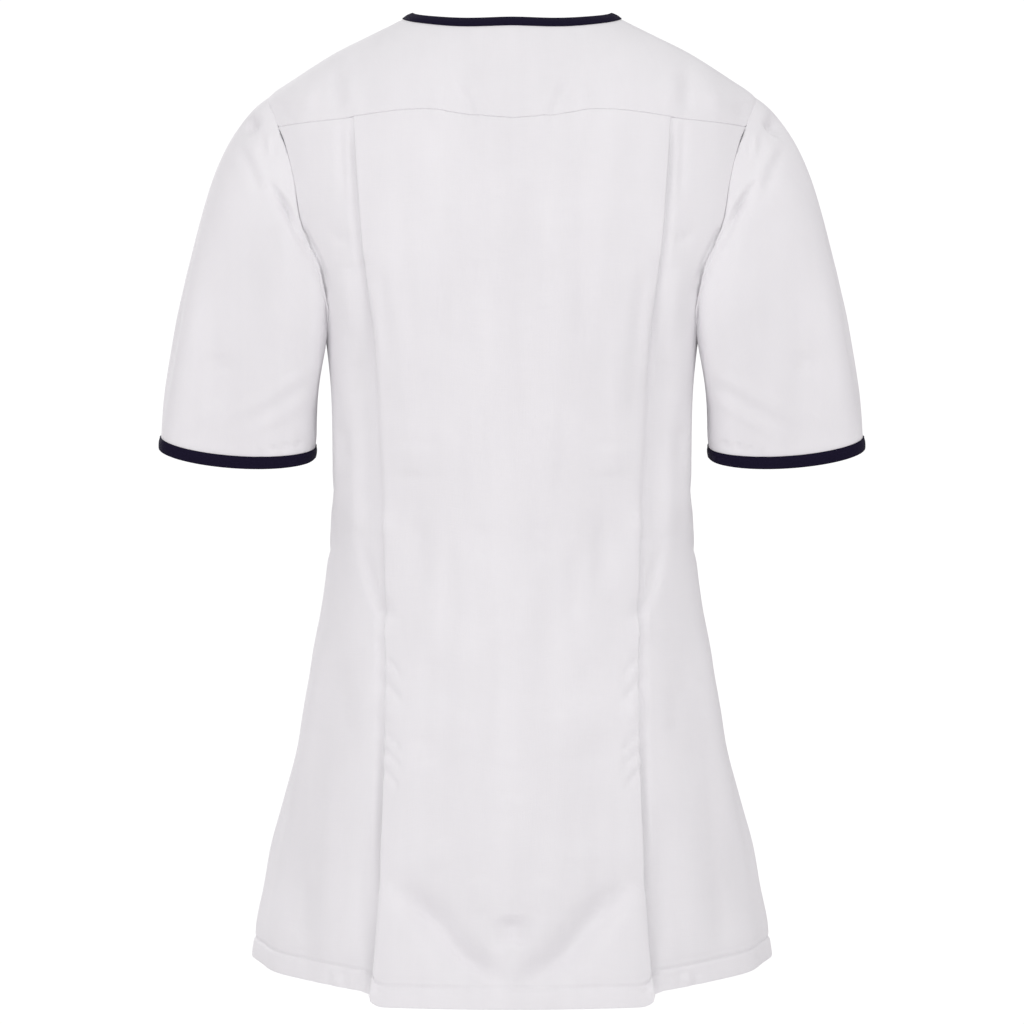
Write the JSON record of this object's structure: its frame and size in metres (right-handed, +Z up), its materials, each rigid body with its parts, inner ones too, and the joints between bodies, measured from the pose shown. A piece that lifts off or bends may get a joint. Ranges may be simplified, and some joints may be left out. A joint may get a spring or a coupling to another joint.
{
  "type": "asymmetric tunic",
  "caption": "Short-sleeved white work tunic with a yoked, pleated back, an off-centre overlapping front and dark binding at the round neck and both cuffs, in its worn, hollow shape.",
  "frame": {"origin": "in the middle of the neck opening, level with its sides, where the tunic hangs from the wearer's shoulders", "axes": "+Z up, the front faces -Y and the back +Y, +X is the wearer's left"},
  "size_m": [0.5368, 0.2913, 0.7387],
  "materials": {
    "cloth": "matte white woven poly-cotton",
    "binding": "matte near-black navy bias tape"
  },
  "bodies": {
    "root": {"back_yoke": "cloth", "back_centre": "cloth", "back_side_L": "cloth", "back_side_R": "cloth", "front_over": "cloth", "front_under": "cloth", "sleeve_L": "cloth", "sleeve_R": "cloth", "neck_binding": "binding", "cuff_binding_L": "binding", "cuff_binding_R": "binding"}
  },
  "joints": []
}
